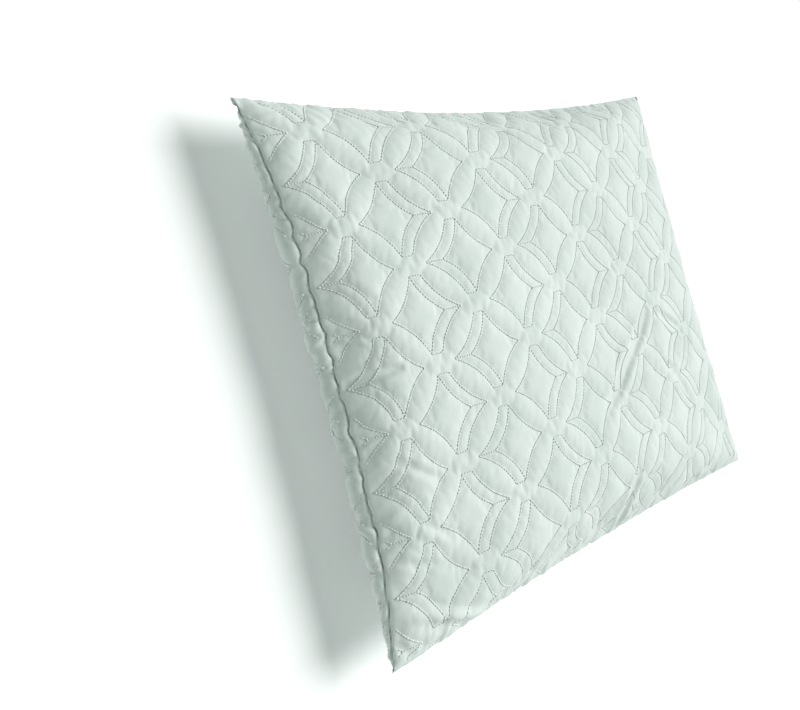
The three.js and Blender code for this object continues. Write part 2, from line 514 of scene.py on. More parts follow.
@dataclass
class QuiltedCloth:
    """The face cloth of one quilted panel, laid out flat and settled by a cloth simulation.

    The cloth is held at every stitch and is a few per cent longer than the lines that hold it. The
    wadding's spring pushes it up between them, so it puffs and puckers. The simulation runs ten times
    life size, where its stiffnesses suit cells of this width.
    """

    cut: Cut
    pattern: QuiltPattern
    cell: float = 2 * MM
    slack: float = 0.04
    push: float = 6.0
    frames: int = 8
    enlarged: float = 10.0
    start_lift: float = 0.6 * MM
    start_spread: float = 0.05 * MM
    loft_limit: float = 3.3 * MM
    evenness: float = 0.25
    seed: int = 4
    flat: np.ndarray = field(init=False)
    offset: np.ndarray = field(init=False)

    def __post_init__(self) -> None:
        """Lays out the cloth and settles it."""
        self.columns = round(self.cut.length / self.cell)
        self.rows = round(self.cut.breadth / self.cell)
        xs = np.linspace(-0.5, 0.5, self.columns + 1) * self.cut.length
        ys = np.linspace(-0.5, 0.5, self.rows + 1) * self.cut.breadth
        self.even = np.stack(np.meshgrid(xs, ys), axis=-1)
        held = self.lay_on_lines()
        settled = self.settle(held)
        height = self.loft_limit * (1 - np.exp(-settled[..., 2] / self.loft_limit))
        settled[..., 2] = np.where(held, height, self.evened(height))
        self.offset = settled - np.concatenate((self.even, np.zeros_like(height)[..., None]), axis=-1)

    def evened(self, height: np.ndarray) -> np.ndarray:
        """Takes some of the finest puckers out of the cloth, which the wadding under it rounds over.

        Args:
            height: Height of each point of the cloth.

        Returns:
            The evened heights.
        """
        smooth = height
        for axis in (0, 1, 0, 1):
            smooth = 0.25 * (np.roll(smooth, 1, axis) + np.roll(smooth, -1, axis)) + 0.5 * smooth
        return height + self.evenness * (smooth - height)

    def lay_on_lines(self) -> np.ndarray:
        """Moves the points nearest to the sewn lines onto them.

        Returns:
            Whether each point is held: those on a line and those on the rim.
        """
        self.flat = self.even.copy()
        held = np.zeros(self.flat.shape[:2], bool)
        points = np.concatenate(self.pattern.sewn_lines(self.cut))
        column = np.round((points[:, 0] / self.cut.length + 0.5) * self.columns).astype(int)
        row = np.round((points[:, 1] / self.cut.breadth + 0.5) * self.rows).astype(int)
        inside = (column > 0) & (column < self.columns) & (row > 0) & (row < self.rows)
        points, column, row = points[inside], column[inside], row[inside]
        distance = np.linalg.norm(points - self.even[row, column], axis=-1)
        farthest_first = np.argsort(-distance, kind="stable")
        points, column, row = (a[farthest_first] for a in (points, column, row))
        self.flat[row, column] = points
        held[row, column] = True
        held[(0, -1), :] = True
        held[:, (0, -1)] = True
        return held

    def settle(self, held: np.ndarray) -> np.ndarray:
        """Runs the simulation.

        Args:
            held: Whether each point is held down.

        Returns:
            The settled place of each point, by row and column.
        """
        big = self.enlarged
        sheet = flat_grid_object("quilt_sheet", self.cut.length * big, self.cut.breadth * big,
                                 self.columns, self.rows)
        start = points_of(sheet.data)
        column = np.round((start[:, 0] / self.cut.length / big + 0.5) * self.columns).astype(int)
        row = np.round((start[:, 1] / self.cut.breadth / big + 0.5) * self.rows).astype(int)
        uneven = np.random.default_rng(self.seed).normal(self.start_lift, self.start_spread, held.shape)
        start[:, :2] = self.flat[row, column] * big
        start[:, 2] = np.where(held, 0, uneven)[row, column] * big
        sheet.data.vertices.foreach_set("co", start.astype(np.float32).ravel())
        pins = sheet.vertex_groups.new(name="stitches")
        pins.add(np.flatnonzero(held[row, column]).tolist(), 1.0, "REPLACE")
        cloth = sheet.modifiers.new("quilting", "CLOTH")
        settings = cloth.settings
        settings.quality = 5
        settings.mass = 0.3
        settings.tension_stiffness = 30
        settings.compression_stiffness = 30
        settings.shear_stiffness = 5
        settings.bending_stiffness = 10
        settings.tension_damping = 1
        settings.compression_damping = 1
        settings.shear_damping = 1
        settings.use_pressure = True
        settings.uniform_pressure_force = self.push
        settings.vertex_group_mass = "stitches"
        settings.shrink_min = -self.slack
        places = step_cloth(sheet, cloth, self.frames)
        settled = np.empty((self.rows + 1, self.columns + 1, 3))
        settled[row, column] = places / big
        return settled


@dataclass
class FilledShape:
    """The two panels sewn together at the rim and filled, by cloth simulation.

    The flat panels lie face to face, are welded at the rim, and are blown up by a pressure that dies
    away as the pillow reaches its volume. A pillow is never quite even, so each side pulls in by its own
    amount. The seam's own gather is set to none, but the simulation runs differently without it, so it
    stays. SeamPuckers adds the small gathers that show.
    """

    cut: Cut
    cell: float = 8 * MM
    frames: int = 20
    start_lift: float = 20 * MM
    volume: float = 0.0225
    pressure_gain: float = 6.0
    seam_gather: float = 0.0
    left_pull: float = 10 * MM
    right_pull: float = 24 * MM
    far_pull: float = 19 * MM
    near_pull: float = 8 * MM
    seam_roll: float = 14 * MM
    roll_reach: float = 60 * MM
    seam_wander: float = 1.0 * MM
    seed: int = 7
    dent_place: tuple[float, float] = (40 * MM, -45 * MM)
    dent_reach: float = 115 * MM
    dent_depth: float = 9 * MM
    right_slack: float = 0.12
    loft_room: float = 3.6 * MM
    rest_softness: float = 9 * MM
    rest_fullness: float = 1.15
    crown_percentile: float = 98
    pull_falloff: float = 1.5
    smoothings: int = 3
    rim_height: float = 0.1 * MM
    weld_reach: float = 0.5 * MM

    def __post_init__(self) -> None:
        """Sets the grid's counts of cells."""
        self.columns = round(self.cut.length / self.cell)
        self.rows = round(self.cut.breadth / self.cell)

    def flat_cover(self) -> bpy.types.Object:
        """The empty cover: two flat panels, lifted slightly apart and welded at the rim.

        Returns:
            The cover, in the scene.
        """
        bm = bmesh.new()
        size = Matrix.Diagonal((self.cut.length, self.cut.breadth, 1, 1))
        for side in Side:
            made = bmesh.ops.create_grid(bm, x_segments=self.columns, y_segments=self.rows, size=0.5,
                                         matrix=size)
            for vert in made["verts"]:
                u = 2 * vert.co.x / self.cut.length
                v = 2 * vert.co.y / self.cut.breadth
                open_share = max(0.0, 1 - abs(u) ** 3) * max(0.0, 1 - abs(v) ** 3)
                vert.co.z = side.value * self.start_lift * math.sqrt(open_share)
            if side is Side.BACK:
                faces = {face for vert in made["verts"] for face in vert.link_faces}
                bmesh.ops.reverse_faces(bm, faces=list(faces))
        rim = [vert for vert in bm.verts if abs(vert.co.z) < self.rim_height]
        bmesh.ops.remove_doubles(bm, verts=rim, dist=self.weld_reach)
        mesh = bpy.data.meshes.new("flat_cover")
        bm.to_mesh(mesh)
        bm.free()
        cover = bpy.data.objects.new("flat_cover", mesh)
        bpy.context.scene.collection.objects.link(cover)
        group = cover.vertex_groups.new(name="seam")
        group.add([v.index for v in mesh.vertices if abs(v.co.z) < self.rim_height], 1.0, "REPLACE")
        return cover

    def blow_up(self, cover: bpy.types.Object) -> np.ndarray:
        """Fills the cover.

        Args:
            cover: The empty cover, which is removed afterwards.

        Returns:
            The place of each of the cover's points once it is filled.
        """
        cloth = cover.modifiers.new("filling", "CLOTH")
        settings = cloth.settings
        settings.quality = 6
        settings.mass = 0.3
        settings.tension_stiffness = 40
        settings.compression_stiffness = 40
        settings.shear_stiffness = 10
        settings.bending_stiffness = 5
        settings.tension_damping = 10
        settings.compression_damping = 10
        settings.shear_damping = 10
        settings.bending_damping = 2
        settings.air_damping = 6
        settings.use_pressure = True
        settings.uniform_pressure_force = 0
        settings.use_pressure_volume = True
        settings.target_volume = self.volume
        settings.pressure_factor = self.pressure_gain
        settings.vertex_group_shrink = "seam"
        settings.shrink_max = self.seam_gather
        return step_cloth(cover, cloth, self.frames)

    def panels(self) -> dict[Side, np.ndarray]:
        """Fills the cover and fits it to the CAD model's outline and levels.

        Returns:
            For each side, the grid of places: rows of y, columns of x, and the three coordinates.
        """
        cover = self.flat_cover()
        flat = points_of(cover.data)
        filled = self.blow_up(cover)
        column = np.round((flat[:, 0] / self.cut.length + 0.5) * self.columns).astype(int)
        row = np.round((flat[:, 1] / self.cut.breadth + 0.5) * self.rows).astype(int)
        grids = {}
        for side in Side:
            mine = side.value * flat[:, 2] > -self.rim_height
            grid = np.empty((self.rows + 1, self.columns + 1, 3))
            grid[row[mine], column[mine]] = filled[mine]
            grids[side] = self.fit(self.smooth(grid), side)
        self.roll_seam(grids)
        return grids

    def roll_seam(self, grids: dict[Side, np.ndarray]) -> None:
        """Rolls the left seam over onto the front, most in its middle, so that the back wraps the edge.

        Args:
            grids: Both panels' grids of places, which are changed.
        """
        front, back = grids[Side.FRONT], grids[Side.BACK]
        steps = np.arange(-self.columns, self.columns + 1)
        wander = np.random.default_rng(self.seed).normal(0, self.seam_wander, self.rows + 1)
        for row in range(1, self.rows):
            v = 2 * row / self.rows - 1
            around = np.concatenate((back[row, :0:-1], front[row]))
            shift = (self.seam_roll + wander[row]) * (1 - v ** 4)
            shift = shift * np.exp(-(steps * self.cell / self.roll_reach) ** 2)
            rolled = smooth_between(around, self.columns + steps + shift / self.cell)
            softened = rolled.copy()
            softened[1:-1] = 0.25 * (rolled[:-2] + rolled[2:]) + 0.5 * rolled[1:-1]
            back[row] = softened[self.columns::-1]
            front[row] = softened[self.columns:]

    def smooth(self, grid: np.ndarray) -> np.ndarray:
        """Evens out the folds that are no wider than a cell of the simulation.

        Args:
            grid: The panel's grid of places.

        Returns:
            The evened grid.
        """
        for _ in range(self.smoothings):
            for axis in (0, 1):
                moved = np.moveaxis(grid, axis, 0)
                inner = 0.25 * (moved[:-2] + moved[2:]) + 0.5 * moved[1:-1]
                grid = np.moveaxis(np.concatenate((moved[:1], inner, moved[-1:])), 0, axis)
        return grid

    def fit(self, grid: np.ndarray, side: Side) -> np.ndarray:
        """Fits one simulated panel to the CAD model.

        Args:
            grid: The panel's grid of places.
            side: Which panel it is.

        Returns:
            The grid with its corners and side pulls at the CAD outline, and its crown at the CAD level.
        """
        u = np.linspace(-1, 1, self.columns + 1)[None, :]
        v = np.linspace(-1, 1, self.rows + 1)[:, None]
        half_x, half_y = self.cut.length / 2, self.cut.breadth / 2
        x = grid[..., 0] * half_x / np.abs(grid[0, 0, 0])
        y = grid[..., 1] * half_y / np.abs(grid[0, 0, 1])
        middle_row, middle_column = self.rows // 2, self.columns // 2
        pull_x = np.where(u < 0, self.left_pull - (half_x + x[middle_row, 0]),
                          self.right_pull - (half_x - x[middle_row, -1]))
        pull_y = np.where(v < 0, self.near_pull - (half_y + y[0, middle_column]),
                          self.far_pull - (half_y - y[-1, middle_column]))
        x = x - pull_x * u * np.abs(u) ** self.pull_falloff * (1 - v ** 2)
        y = y - pull_y * v * np.abs(v) ** self.pull_falloff * (1 - u ** 2)
        height = side.value * grid[..., 2]
        level = np.percentile(height, self.crown_percentile)
        rise = self.cut.crown_level - self.cut.seam_level if side is Side.FRONT else self.cut.seam_level
        rise -= self.loft_room
        if side is Side.FRONT:
            height = height * rise / level * self.slump(u, v)
        else:
            height = height * self.rest_fullness * rise / level
            height = height - self.rest_softness * np.logaddexp(0, (height - rise) / self.rest_softness)
            height = height * rise / height.max()
        return np.stack((x, y, self.cut.seam_level + side.value * height), axis=-1)

    def slump(self, u: np.ndarray, v: np.ndarray) -> np.ndarray:
        """How full the front is: a hollow pressed into it, and less filling towards the right side.

        Args:
            u: Place along the pillow, from -1 to 1.
            v: Place across it, from -1 to 1.

        Returns:
            The share of the even height that is left.
        """
        from_dent = np.hypot(u * self.cut.length / 2 - self.dent_place[0],
                             v * self.cut.breadth / 2 - self.dent_place[1])
        hollow = self.dent_depth / (self.cut.crown_level - self.cut.seam_level)
        hollow = hollow * np.exp(-(from_dent / self.dent_reach) ** 2)
        return (1 - hollow) * (1 - self.right_slack * np.clip(u, 0, 1) ** 2)


@dataclass(frozen=True)
class Crease:
    """A soft fold in a panel: a valley with raised shoulders along a bent line.

    It fades out at both ends. A fold of negative depth is a ridge.
    """

    start: tuple[float, float]
    bend: tuple[float, float]
    end: tuple[float, float]
    depth: float
    width: float
    shoulders: float = 1.4
    fade: float = 0.6
    steps: int = 40

    def rise(self, cloth: np.ndarray) -> np.ndarray:
        """How far the fold lifts each point of the panel.

        Args:
            cloth: Flat x and y of each point.

        Returns:
            The lift, which is negative in the valley.
        """
        lift = np.zeros(cloth.shape[:-1])
        a, b, c = (np.array(p) for p in (self.start, self.bend, self.end))
        nearest = np.full(cloth.shape[:-1], np.inf)
        for t in np.linspace(0, 1, self.steps):
            place = (1 - t) ** 2 * a + 2 * t * (1 - t) * b + t ** 2 * c
            away = np.linalg.norm(cloth - place, axis=-1) / self.width
            closer = away < nearest
            nearest[closer] = away[closer]
            valley = -self.depth * (1 - self.shoulders * away ** 2) * np.exp(-away ** 2)
            lift[closer] = valley[closer] * math.sin(math.pi * t) ** self.fade
        return lift


@dataclass(frozen=True)
class SeamPuckers:
    """The small gathers that run in from the seam, where the stitching has drawn the panels up."""

    spacing: float = 4.5 * MM
    height: float = 1.0 * MM
    left_height: float = 3.2 * MM
    reach: float = 24 * MM
    slant: float = 0.5
    slant_spacing: float = 45 * MM
    grip: float = 4 * MM
    unevenness: float = 0.6
    knots: int = 800
    seed: int = 11

    def rise(self, cut: Cut, side: Side, cloth: np.ndarray) -> np.ndarray:
        """How far the gathers lift each point of the panel.

        Args:
            cut: The flat panel.
            side: Which panel it is. The back, drawn round the left edge, is gathered most.
            cloth: Flat x and y of each point.

        Returns:
            The lift.
        """
        x, y = np.moveaxis(cloth, -1, 0)
        lift = np.zeros(x.shape)
        left = self.left_height if side is Side.BACK else self.height
        sides = ((y, cut.length / 2 + x, left), (y, cut.length / 2 - x, self.height),
                 (x, cut.breadth / 2 + y, self.height), (x, cut.breadth / 2 - y, self.height))
        rng = np.random.default_rng(self.seed)
        for along, inward, height in sides:
            inward = np.maximum(inward, 0)
            for finer in (1, 2):
                knots = rng.normal(0, self.unevenness, self.knots)
                lean = self.slant * inward * np.sin(along / self.slant_spacing + rng.uniform(0, math.tau))
                places = (along + lean + cut.length) / self.spacing * finer
                gathers = smooth_between(knots, places.ravel()).reshape(x.shape)
                fade = np.exp(-finer * inward / self.reach) * (1 - np.exp(-inward / self.grip))
                lift += gathers * fade * height / finer
        return lift


@dataclass
class PanelSurface:
    """One panel's outer face: its quilted cloth, wrapped onto the filled shape."""

    cut: Cut
    side: Side
    shape: np.ndarray
    cloth: QuiltedCloth
    creases: Sequence[Crease] = ()
    puckers: SeamPuckers = SeamPuckers()
    lip_reach: float = 4 * MM
    lip_rise: float = 0.4 * MM
    seam_sink: float = 0.7 * MM
    seam_gap: float = 0.1 * MM
    valley_limit: float = 0.4 * MM
    rest_level: float = 0.2 * MM
    places: np.ndarray = field(init=False)
    normals: np.ndarray = field(init=False)

    def __post_init__(self) -> None:
        """Wraps the cloth. The back panel is cut from the same cloth, turned half round."""
        self.flat, offset = self.cloth.flat, self.cloth.offset
        if self.side is Side.BACK:
            self.flat = self.flat[::-1] * (1, -1)
            offset = offset[::-1] * (1, -1, 1)
        ground = self.shape_at(self.cloth.rows, self.cloth.columns)
        outward = self.outward(ground)
        along_x = np.gradient(ground, self.cloth.cell, axis=1)
        along_y = np.gradient(ground, self.cloth.cell, axis=0)
        rise = offset[..., 2] + self.lip() + self.puckers.rise(self.cut, self.side, self.cloth.even)
        for crease in self.creases:
            rise = rise + crease.rise(self.cloth.even)
        rise = np.maximum(rise, -self.valley_limit)
        places = ground + along_x * offset[..., :1] + along_y * offset[..., 1:2] + outward * rise[..., None]
        places[..., :2] *= 1 - self.groove()[..., None] * self.seam_sink / (self.cut.breadth / 2)
        places[..., 2] += self.groove() * self.side.value * self.seam_gap
        places[..., 2] = np.maximum(places[..., 2], self.rest_level)
        self.places = places
        self.normals = self.outward(places)

    def shape_at(self, rows: int, columns: int) -> np.ndarray:
        """The filled shape without its quilting, on an even grid.

        Args:
            rows: Cells along Y.
            columns: Cells along X.

        Returns:
            The grid of places.
        """
        shape_rows, shape_columns = self.shape.shape[0] - 1, self.shape.shape[1] - 1
        by_row = smooth_between(self.shape, np.linspace(0, shape_rows, rows + 1))
        by_column = smooth_between(np.swapaxes(by_row, 0, 1), np.linspace(0, shape_columns, columns + 1))
        return np.swapaxes(by_column, 0, 1)

    def outward(self, places: np.ndarray) -> np.ndarray:
        """Outward unit normals of a grid of places."""
        normal = self.side.value * np.cross(np.gradient(places, axis=1), np.gradient(places, axis=0))
        return normal / np.linalg.norm(normal, axis=-1, keepdims=True)

    def from_seam(self) -> np.ndarray:
        """Flat distance of the cloth's points from the seam, in widths of the rolled edge."""
        x, y = np.moveaxis(self.cloth.even, -1, 0)
        return np.minimum(self.cut.length / 2 - np.abs(x), self.cut.breadth / 2 - np.abs(y)) / self.lip_reach

    def lip(self) -> np.ndarray:
        """Rise of the rolled edge beside the seam."""
        return self.lip_rise * np.sin(np.pi * np.clip(self.from_seam(), 0, 2) / 2) ** 2

    def groove(self) -> np.ndarray:
        """How far the cloth follows the seam into the groove between the two rolled edges, from 0 to 1."""
        return np.clip(1 - 2 * self.from_seam(), 0, 1)

    def on_cloth(self, points: np.ndarray, height: np.ndarray) -> np.ndarray:
        """Where points of the flat panel lie on the finished one.

        Args:
            points: Flat x and y of each point.
            height: Height of each point over the cloth.

        Returns:
            The place of each point.
        """
        column = (points[..., 0] / self.cut.length + 0.5) * self.cloth.columns
        row = (points[..., 1] / self.cut.breadth + 0.5) * self.cloth.rows
        for _ in range(3):
            miss = blend_at(self.flat, row, column) - points
            column = column - miss[..., 0] / self.cloth.cell
            row = row - miss[..., 1] / self.cloth.cell
        return blend_at(self.places, row, column) + blend_at(self.normals, row, column) * height[..., None]


# ---------------------------------------------------------------------------------------------------
# Pieces


def finished_piece(name: str, bm: bmesh.types.BMesh, material: bpy.types.Material,
                   ) -> bpy.types.Object:
    """Makes a smooth-shaded piece that rides on the pillow's body.

    Args:
        name: The piece's name.
        bm: Its shape, in place. It is freed.
        material: Its finish.

    Returns:
        The piece.
    """
    mesh = bpy.data.meshes.new(name)
    bm.to_mesh(mesh)
    bm.free()
    mesh.materials.append(material)
    mesh.polygons.foreach_set("use_smooth", [True] * len(mesh.polygons))
    piece = bpy.data.objects.new(name, mesh)
    bpy.context.scene.collection.objects.link(piece)
    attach(piece, BODY)
    return piece


def add_sheet(bm: bmesh.types.BMesh, places: np.ndarray, outward: bool) -> list[bmesh.types.BMEdge]:
    """Adds a sheet of square cells to a bmesh.

    Args:
        bm: The bmesh.
        places: The place of each point, by row along Y and column along X.
        outward: Whether its faces look up, for rows that run to +Y and columns that run to +X.

    Returns:
        The edges of its rim.
    """
    rows, columns = places.shape[0] - 1, places.shape[1] - 1
    made = bmesh.ops.create_grid(bm, x_segments=columns, y_segments=rows, size=0.5)["verts"]
    faces = {face for vert in made for face in vert.link_faces}
    if not outward:
        bmesh.ops.reverse_faces(bm, faces=list(faces))
    for vert in made:
        vert.co = places[round((vert.co.y + 0.5) * rows), round((vert.co.x + 0.5) * columns)]
    return list({edge for vert in made for edge in vert.link_edges if edge.is_boundary})


def layer_sheet(surface: PanelSurface, depth: float, columns: int = 66, rows: int = 51) -> np.ndarray:
    """One panel's filled shape, drawn in about the pillow's middle.

    Args:
        surface: The panel.
        depth: How far the crown is drawn in. The rim is drawn in by half as much, and past the seam.
        columns: Cells along X.
        rows: Cells along Y.

    Returns:
        The grid of places.
    """
    side, level = surface.side.value, surface.cut.seam_level
    places = surface.shape_at(rows, columns)
    crown = np.abs(places[..., 2] - level).max()
    inward = 1 - (1.2 * surface.seam_sink + 0.5 * depth) / (surface.cut.breadth / 2)
    height = side * (places[..., 2] - level) * (1 - depth / crown) + 2 * surface.seam_gap
    return np.stack((places[..., 0] * inward, places[..., 1] * inward, level + side * height), axis=-1)


def closed_between(upper: np.ndarray, lower: np.ndarray) -> bmesh.types.BMesh:
    """A closed body between two sheets whose rims are joined.

    Args:
        upper: The sheet whose faces look up.
        lower: The sheet whose faces look down.

    Returns:
        The body.
    """
    bm = bmesh.new()
    rim = add_sheet(bm, upper, True) + add_sheet(bm, lower, False)
    joined = bmesh.ops.bridge_loops(bm, edges=rim)["faces"]
    bmesh.ops.recalc_face_normals(bm, faces=joined)
    return bm


@dataclass
class PanelLayers:
    """The layers that are quilted onto the back of one cover panel: its wadding and its scrim."""

    surface: PanelSurface
    clearance: float = 0.6 * MM
    cover_depth: float = 0.9 * MM
    wadding: float = 6 * MM
    scrim: float = 0.5 * MM

    def layer(self, name: str, outer: float, thickness: float, material: bpy.types.Material) -> bpy.types.Object:
        """One layer as a piece.

        Args:
            name: The layer's name after the side's word.
            outer: How deep its outer face is.
            thickness: Its thickness at the crown.
            material: Its finish.

        Returns:
            The piece.
        """
        sheets = [layer_sheet(self.surface, depth) for depth in (outer, outer + thickness)]
        if self.surface.side is Side.BACK:
            sheets.reverse()
        return finished_piece(f"{self.surface.side.word}_{name}", closed_between(*sheets), material)

    def build(self, wadding: bpy.types.Material, scrim: bpy.types.Material) -> list[bpy.types.Object]:
        """Builds both layers.

        Args:
            wadding: The wadding's finish.
            scrim: The scrim's finish.

        Returns:
            The two pieces.
        """
        word = self.surface.side.word
        depth = self.cover_depth + self.clearance
        pad = self.layer("wadding", depth, self.wadding, wadding)
        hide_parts(f"{word}_quilt_wadding")
        depth += self.wadding + self.clearance
        backing = self.layer("scrim", depth, self.scrim, scrim)
        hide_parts(f"{word}_backing_scrim")
        return [pad, backing]

    def inner_depth(self) -> float:
        """How deep the filling starts."""
        return self.cover_depth + self.wadding + self.scrim + 3 * self.clearance


def build_filling(layers: Sequence[PanelLayers], material: bpy.types.Material) -> bpy.types.Object:
    """The loose fibre filling, as one closed cushion inside both panels.

    Args:
        layers: The front panel's layers and then the back panel's.
        material: The fibre.

    Returns:
        The piece.
    """
    front, back = (layer_sheet(panel.surface, panel.inner_depth()) for panel in layers)
    piece = finished_piece("fibre_filling", closed_between(front, back), material)
    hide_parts("fibre_fill")
    return piece


@dataclass
class QuiltedCover:
    """One quilted cover panel: its face in full relief, and a plain lining side, joined at the seam."""

    surface: PanelSurface
    skin: float = 0.6 * MM

    def build(self, material: bpy.types.Material) -> bpy.types.Object:
        """Builds the panel and dresses it.

        Args:
            material: The cover's cloth.

        Returns:
            The piece.
        """
        front = self.surface.side is Side.FRONT
        bm = bmesh.new()
        rim = add_sheet(bm, self.surface.places, front)
        face_points = len(bm.verts)
        rim += add_sheet(bm, layer_sheet(self.surface, 1.5 * self.skin), not front)
        joined = bmesh.ops.bridge_loops(bm, edges=rim)["faces"]
        bmesh.ops.recalc_face_normals(bm, faces=joined)
        piece = finished_piece(f"{self.surface.side.word}_cover", bm, material)
        self.store_cloth_map(piece.data, face_points)
        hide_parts(f"{self.surface.side.word}_cover_fabric")
        return piece

    def store_cloth_map(self, mesh: bpy.types.Mesh, face_points: int) -> None:
        """Keeps each point's place on the flat cloth, in metres, for the weave to follow.

        Args:
            mesh: The cover's mesh.
            face_points: How many of its points are on the face, which come first.
        """
        flat = points_of(mesh)
        flat[:, 2] = 0
        rows, columns = self.surface.flat.shape[:2]
        order = self.surface.flat.reshape(rows * columns, 2)
        flat[:face_points, :2] = order
        stored = mesh.attributes.new(CLOTH_MAP, "FLOAT_VECTOR", "POINT")
        stored.data.foreach_set("vector", flat.astype(np.float32).ravel())


@dataclass
class QuiltStitches:
    """The quilting's stitches on one panel: short arcs of thread that dip into the cloth at both ends."""

    surface: PanelSurface
    pattern: QuiltPattern
    pitch: float = 3.1 * MM
    length: float = 2.4 * MM
    radius: float = 0.6 * MM
    rise: float = 0.8 * MM
    sink: float = 0.3 * MM
    edge_room: float = 5 * MM
    runs: tuple[float, ...] = (0.18, 0.64, 0.18)
    flatness: int = 4

    def places_along(self, line: np.ndarray) -> np.ndarray:
        """The start and end of each stitch on one sewn line.

        Args:
            line: The line's points on the flat panel.

        Returns:
            For each stitch, the flat x and y of its start and its end.
        """
        travel = np.concatenate(([0], np.cumsum(np.linalg.norm(np.diff(line, axis=0), axis=-1))))
        count = max(1, round(travel[-1] / self.pitch))
        start = (np.arange(count) + 0.5) * travel[-1] / count - self.length / 2
        ends = np.stack((start, start + self.length), axis=-1)
        both = np.stack([np.interp(ends, travel, line[:, axis]) for axis in (0, 1)], axis=-1)
        room = np.array((self.surface.cut.length, self.surface.cut.breadth)) / 2 - self.edge_room
        return both[(np.abs(both) < room).all(axis=(1, 2))]

    def one_stitch(self) -> bpy.types.Mesh:
        """One stitch, with X from 0 to 1 along it, and Y and Z as sides of the thread.

        Returns:
            The stitch's mesh.
        """
        bm = bmesh.new()
        ring = bmesh.ops.create_circle(bm, cap_ends=True, segments=4, radius=self.radius,
                                       matrix=Matrix.Rotation(math.pi / 2, 4, "Y"))["verts"]
        faces = list({face for vert in ring for face in vert.link_faces})
        for step, run in enumerate(self.runs):
            grown = bmesh.ops.extrude_face_region(bm, geom=faces)["geom"]
            verts = [g for g in grown if isinstance(g, bmesh.types.BMVert)]
            bmesh.ops.translate(bm, verts=verts, vec=(run, 0, 0))
            if step:
                bmesh.ops.delete(bm, geom=faces, context="FACES_ONLY")
            faces = [g for g in grown if isinstance(g, bmesh.types.BMFace)]
        bmesh.ops.recalc_face_normals(bm, faces=bm.faces[:])
        mesh = bpy.data.meshes.new("one_stitch")
        bm.to_mesh(mesh)
        bm.free()
        return mesh

    def build(self, material: bpy.types.Material) -> bpy.types.Object:
        """Builds all the panel's stitches as one piece.

        Args:
            material: The sewing thread.

        Returns:
            The piece.
        """
        lines = self.pattern.sewn_lines(self.surface.cut)
        if self.surface.side is Side.BACK:
            lines = [line * (1, -1) for line in lines]
        ends = np.concatenate([self.places_along(line) for line in lines])
        template = self.one_stitch()
        shape = points_of(template)
        bm = bmesh.new()
        for _ in range(len(ends)):
            bm.from_mesh(template)
        bpy.data.meshes.remove(template)
        piece = finished_piece(f"{self.surface.side.word}_quilting_stitches", bm, material)
        run = ends[:, 1] - ends[:, 0]
        aside = self.surface.side.value * np.stack((-run[:, 1], run[:, 0]), axis=-1)
        aside = aside / np.linalg.norm(run, axis=-1, keepdims=True)
        flat = ends[:, None, 0] + run[:, None] * shape[None, :, :1] + aside[:, None] * shape[None, :, 1:2]
        bow = self.rise - (self.rise + self.sink) * (2 * shape[:, 0] - 1) ** self.flatness
        height = np.broadcast_to(shape[:, 2] + bow, flat.shape[:2])
        places = self.surface.on_cloth(flat, height)
        piece.data.vertices.foreach_set("co", places.astype(np.float32).ravel())
        piece.data.update()
        LOG.info("%s stitches: %d", self.surface.side.word, len(ends))
        return piece


def thread_piece(name: str, path: np.ndarray, radius: float,
                 material: bpy.types.Material) -> bpy.types.Object:
    """A sewing thread along a path, as a closed tube with capped ends.

    Args:
        name: The piece's name.
        path: The points that it passes through.
        radius: Half its thickness.
        material: The sewing thread.

    Returns:
        The piece.
    """
    curve = bpy.data.curves.new(name, "CURVE")
    curve.dimensions = "3D"
    curve.bevel_depth = radius
    curve.bevel_resolution = 1
    curve.use_fill_caps = True
    spline = curve.splines.new("POLY")
    spline.points.add(len(path) - 1)
    spline.points.foreach_set("co", np.column_stack((path, np.ones(len(path)))).ravel())
    maker = bpy.data.objects.new(name + "_path", curve)
    bpy.context.scene.collection.objects.link(maker)
    bm = bmesh.new()
    bm.from_mesh(maker.evaluated_get(bpy.context.evaluated_depsgraph_get()).to_mesh())
    bpy.data.objects.remove(maker)
    bmesh.ops.remove_doubles(bm, verts=bm.verts[:], dist=0.01 * MM)
    return finished_piece(name, bm, material)


